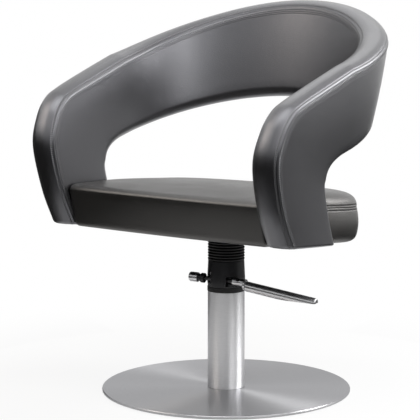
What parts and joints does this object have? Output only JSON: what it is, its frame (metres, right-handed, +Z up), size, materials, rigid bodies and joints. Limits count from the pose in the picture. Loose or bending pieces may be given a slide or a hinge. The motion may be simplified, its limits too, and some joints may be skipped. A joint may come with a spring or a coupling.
{
  "type": "hairdressing chair",
  "caption": "Salon styling chair with an upholstered seat, one wrap-around arm and back band, a swivelling hydraulic column pumped by a foot lever, and a round base plate.",
  "frame": {"origin": "centre of the base's underside, on the floor and on the column's axis", "axes": "+Z up along the column, -Y to the front of the seat, +X to the sitter's left"},
  "size_m": [0.679, 0.6469, 0.8674],
  "materials": {
    "leather": "satin",
    "brushed_stainless": "satin",
    "chrome": "polished",
    "black_plastic": "satin",
    "black_rubber": "matte",
    "dark_steel": "satin",
    "bronze": "satin",
    "aluminium_casting": "matte",
    "plywood": "matte",
    "underside_cloth": "matte"
  },
  "bodies": {
    "base": {"floor_pad": "black_rubber", "base_disc": "brushed_stainless", "column_tube": "brushed_stainless", "pump_cylinder": "dark_steel", "base_screw_1": "dark_steel", "base_screw_2": "dark_steel", "base_screw_3": "dark_steel", "base_screw_4": "dark_steel", "collar_ring": "black_rubber", "collar_shell": "black_plastic", "pump_head": "aluminium_casting", "guide_bush": "bronze", "rod_wiper": "black_rubber", "pivot_pin": "dark_steel", "bellows": "black_rubber"},
    "lever": {"rocker_shaft": "dark_steel", "stub_bush": "black_plastic", "stub_cap": "chrome", "stub_screw": "dark_steel", "pedal_hub": "chrome", "hub_screw": "dark_steel", "pedal_clamp": "chrome", "pedal_bar": "chrome"},
    "plunger": {"pump_plunger": "dark_steel"},
    "ram": {"ram_rod": "chrome", "piston": "dark_steel", "piston_seal": "black_rubber", "bellows_flange": "dark_steel", "thrust_washer": "bronze"},
    "seat": {"swivel_hub": "aluminium_casting", "seat_plate": "brushed_stainless", "plate_bolt_1": "dark_steel", "plate_bolt_2": "dark_steel", "plate_bolt_3": "dark_steel", "plate_bolt_4": "dark_steel", "seat_board": "plywood", "underside_cover": "underside_cloth", "seat_cushion": "leather", "arm_band": "leather", "band_frame": "dark_steel", "frame_plug_left": "dark_steel", "frame_plug_right": "dark_steel", "arm_bracket_left": "dark_steel", "arm_bracket_right": "dark_steel", "bracket_bolt_left_1": "dark_steel", "bracket_bolt_left_2": "dark_steel", "bracket_bolt_right_1": "dark_steel", "bracket_bolt_right_2": "dark_steel", "arm_bolt_left": "dark_steel", "arm_bolt_right": "dark_steel"}
  },
  "joints": [
    {"name": "pedal_rock", "type": "hinge", "parent": "base", "child": "lever", "pos_m": [0.01812, -0.02676, 0.2552], "axis": [-0.213, 0.977, 0], "range_deg": [0, 10], "stiffness_Nm_per_rad": 40, "springref_deg": -5.73},
    {"name": "plunger_stroke", "type": "slide", "parent": "base", "child": "plunger", "axis": [0, 0, 1], "range_m": [0, 0.0046]},
    {"name": "seat_lift", "type": "slide", "parent": "base", "child": "ram", "axis": [0, 0, 1], "range_m": [0, 0.13], "deforming": ["bellows"]},
    {"name": "seat_swivel", "type": "hinge", "parent": "ram", "child": "seat", "pos_m": [0, 0, 0.36], "axis": [0, 0, 1], "continuous": true}
  ],
  "couplings": [
    {"joint": "plunger_stroke", "follows": "pedal_rock", "m_per_rad": 0.026}
  ]
}
